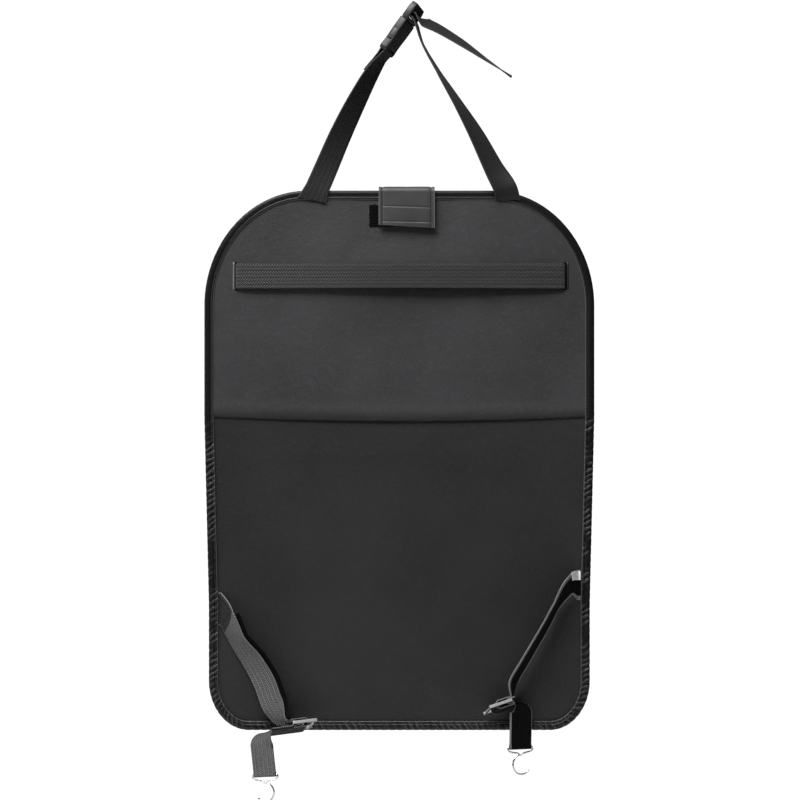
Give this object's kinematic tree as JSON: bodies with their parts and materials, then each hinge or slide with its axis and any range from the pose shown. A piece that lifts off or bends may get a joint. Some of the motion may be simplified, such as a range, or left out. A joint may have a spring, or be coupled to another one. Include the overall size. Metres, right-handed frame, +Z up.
{
  "type": "car seat back organizer",
  "caption": "Flat stiffened panel that hangs on a car seat's back, shown from its plain seat side: crossed straps with a release buckle above, hooked straps below, pockets on the other side.",
  "frame": {"origin": "middle of the back panel, on the outer face of its lower sheet, which lies against the seat back", "axes": "+Z up along the panel, +X to the right as seen from the seat side, +Y towards the pockets; the seat side faces -Y"},
  "size_m": [0.4096, 0.0778, 0.8357],
  "materials": {
    "upper_leather": "charcoal PU leather with a fine grain and a soft sheen",
    "lower_leather": "darker charcoal PU leather with a fine grain",
    "binding_cloth": "folded synthetic edge tape, stitched along its inner edge",
    "webbing": "woven polypropylene webbing with slightly glossy edges",
    "stiffener": "closed cell foam board",
    "grip_tape": "hook and loop tape",
    "buckle_plastic": "moulded grey plastic, satin",
    "slider_plastic": "moulded black plastic, glossy",
    "hook_wire": "bright plated steel wire",
    "clear_film": "clear flexible film",
    "label_cloth": "bare white label tape"
  },
  "bodies": {
    "organizer": {"back_panel_lower": "lower_leather", "back_panel_upper": "upper_leather", "stiffener_board": "stiffener", "front_panel": "upper_leather", "edge_binding": "binding_cloth", "top_binding": "binding_cloth", "back_band": "webbing", "closing_tab": "upper_leather", "loop_patch": "grip_tape", "hook_patch": "grip_tape", "buckle_socket": "buckle_plastic", "buckle_plug": "buckle_plastic", "top_strap_left": "webbing", "top_strap_right": "webbing", "lower_strap_left": "webbing", "slider_left": "slider_plastic", "lower_strap_right": "webbing", "slider_right": "slider_plastic", "seam_label": "label_cloth", "tablet_sleeve": "upper_leather", "sleeve_window": "clear_film", "sleeve_binding": "binding_cloth", "middle_pocket_left": "upper_leather", "middle_pocket_left_binding": "binding_cloth", "middle_pocket_right": "upper_leather", "middle_pocket_right_binding": "binding_cloth", "bottom_pocket": "upper_leather", "bottom_pocket_binding": "binding_cloth"},
    "left_hook": {"wire_hook_left": "hook_wire"},
    "right_hook": {"wire_hook_right": "hook_wire"}
  },
  "joints": [
    {"name": "left_hook_swing", "type": "hinge", "parent": "organizer", "child": "left_hook", "pos_m": [-0.13941, -0.03691, -0.32527], "axis": [0.9003, -0.4246, 0.0959], "range_deg": [-140, 140]},
    {"name": "right_hook_swing", "type": "hinge", "parent": "organizer", "child": "right_hook", "pos_m": [0.12618, -0.01956, -0.29869], "axis": [0.8827, 0.4695, -0.0177], "range_deg": [-140, 110]}
  ]
}
